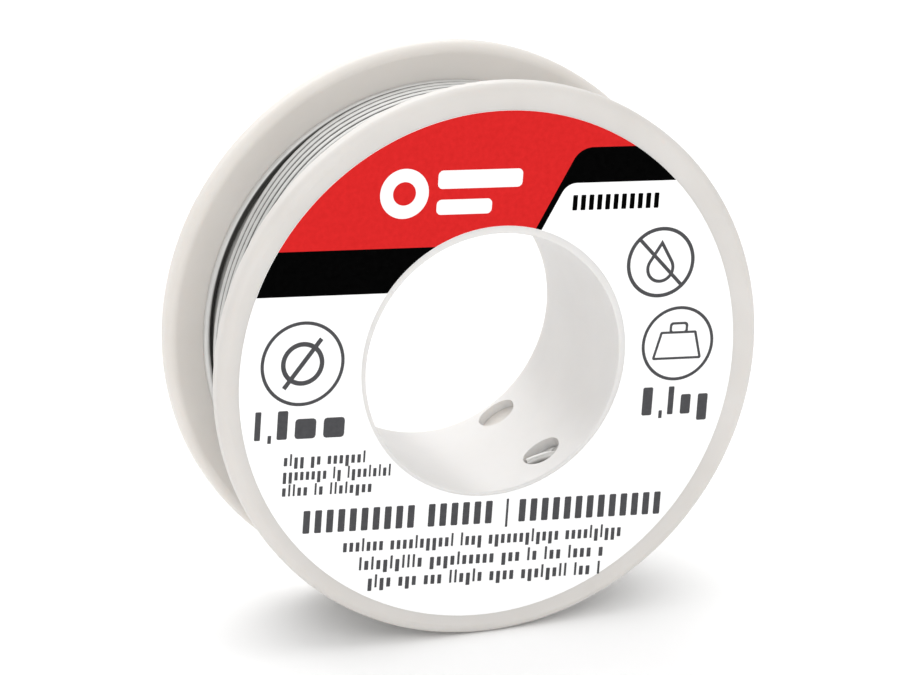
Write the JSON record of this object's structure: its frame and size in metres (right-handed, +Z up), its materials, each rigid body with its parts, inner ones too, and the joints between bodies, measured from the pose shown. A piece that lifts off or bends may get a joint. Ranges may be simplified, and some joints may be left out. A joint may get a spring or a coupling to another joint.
{
  "type": "solder wire spool",
  "caption": "Small plastic spool of soft solder wire with a wide open bore, rounded flanges, and a printed ring label on the front flange.",
  "frame": {"origin": "on the bore's axis, halfway between the outer faces of the two flanges", "axes": "+Y along the bore's axis, from the labelled front flange to the rear flange; +Z up, with the spool standing on its two rims; +X to the right as the label is seen"},
  "size_m": [0.06, 0.0209, 0.06],
  "materials": {
    "spool_plastic": "satin",
    "label_paper": "semi_gloss",
    "solder_wire": "satin"
  },
  "bodies": {
    "root": {"core_tube": "spool_plastic", "front_flange": "spool_plastic", "rear_flange": "spool_plastic", "front_label": "label_paper", "wire_winding": "solder_wire"}
  },
  "joints": []
}
